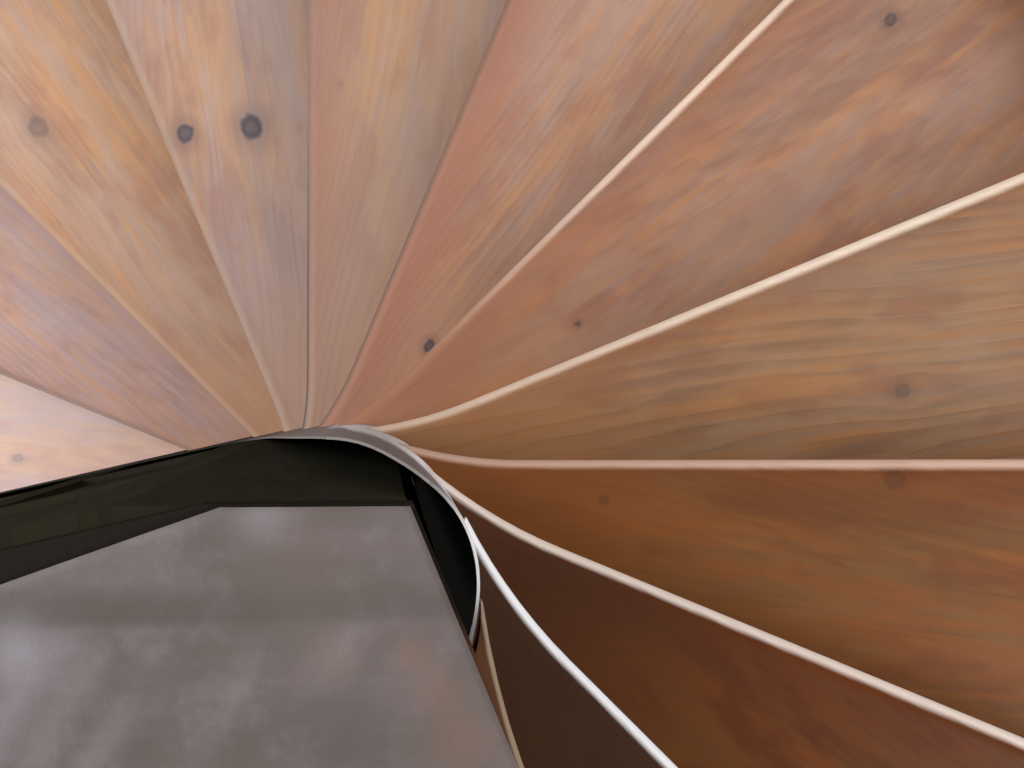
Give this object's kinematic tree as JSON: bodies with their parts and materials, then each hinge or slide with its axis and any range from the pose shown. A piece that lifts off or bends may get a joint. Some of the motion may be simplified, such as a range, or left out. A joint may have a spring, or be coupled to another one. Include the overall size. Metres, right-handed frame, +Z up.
{
  "type": "spiral staircase",
  "caption": "Winding timber stair that climbs clockwise round a narrow well to a sector landing, with bullnosed treads, closed strings, a panelled side wall and posts.",
  "frame": {"origin": "on the axis of the turn, at floor level, in the middle of the stair's plan", "axes": "+Z up; +X from the axis towards the ninth tread; -X towards the bottom step; the stair climbs clockwise seen from above"},
  "size_m": [2.68, 2.68, 2.4491],
  "materials": {
    "tread_pine": "varnished knotty pine, worn pale along the nosings",
    "riser_pine": "dark varnished pine",
    "inner_string_wood": "dark varnished board with a silvery worn top edge",
    "outer_string_wood": "varnished pine",
    "dark_panel": "dark stained boards, low sheen",
    "landing_boards": "varnished pine, worn nosing",
    "floor_covering": "grey-brown mottled floor covering",
    "frame_wood": "dark varnished softwood"
  },
  "bodies": {
    "root": {"core_board_back": "dark_panel", "core_board_front": "dark_panel", "core_post": "frame_wood", "inner_string_straight": "inner_string_wood", "inner_string_wreath": "inner_string_wood", "landing_cover": "floor_covering", "landing_deck": "landing_boards", "landing_joist_1": "frame_wood", "landing_joist_2": "frame_wood", "landing_post_front": "frame_wood", "landing_post_rim": "frame_wood", "landing_post_wall": "frame_wood", "landing_rim_beam": "frame_wood", "landing_trimmer": "frame_wood", "outer_string_1": "outer_string_wood", "outer_string_2": "outer_string_wood", "outer_string_3": "outer_string_wood", "outer_string_foot": "outer_string_wood", "riser_01": "riser_pine", "riser_02": "riser_pine", "riser_03": "riser_pine", "riser_04": "riser_pine", "riser_05": "riser_pine", "riser_06": "riser_pine", "riser_07": "riser_pine", "riser_08": "riser_pine", "riser_09": "riser_pine", "riser_10": "riser_pine", "riser_11": "riser_pine", "riser_12": "riser_pine", "side_wall": "dark_panel", "string_post_1": "frame_wood", "string_post_2": "frame_wood", "string_post_3": "frame_wood", "tread_01": "tread_pine", "tread_02": "tread_pine", "tread_03": "tread_pine", "tread_04": "tread_pine", "tread_05": "tread_pine", "tread_06": "tread_pine", "tread_07": "tread_pine", "tread_08": "tread_pine", "tread_09": "tread_pine", "tread_10": "tread_pine", "tread_11": "tread_pine", "well_base": "dark_panel"}
  },
  "joints": []
}
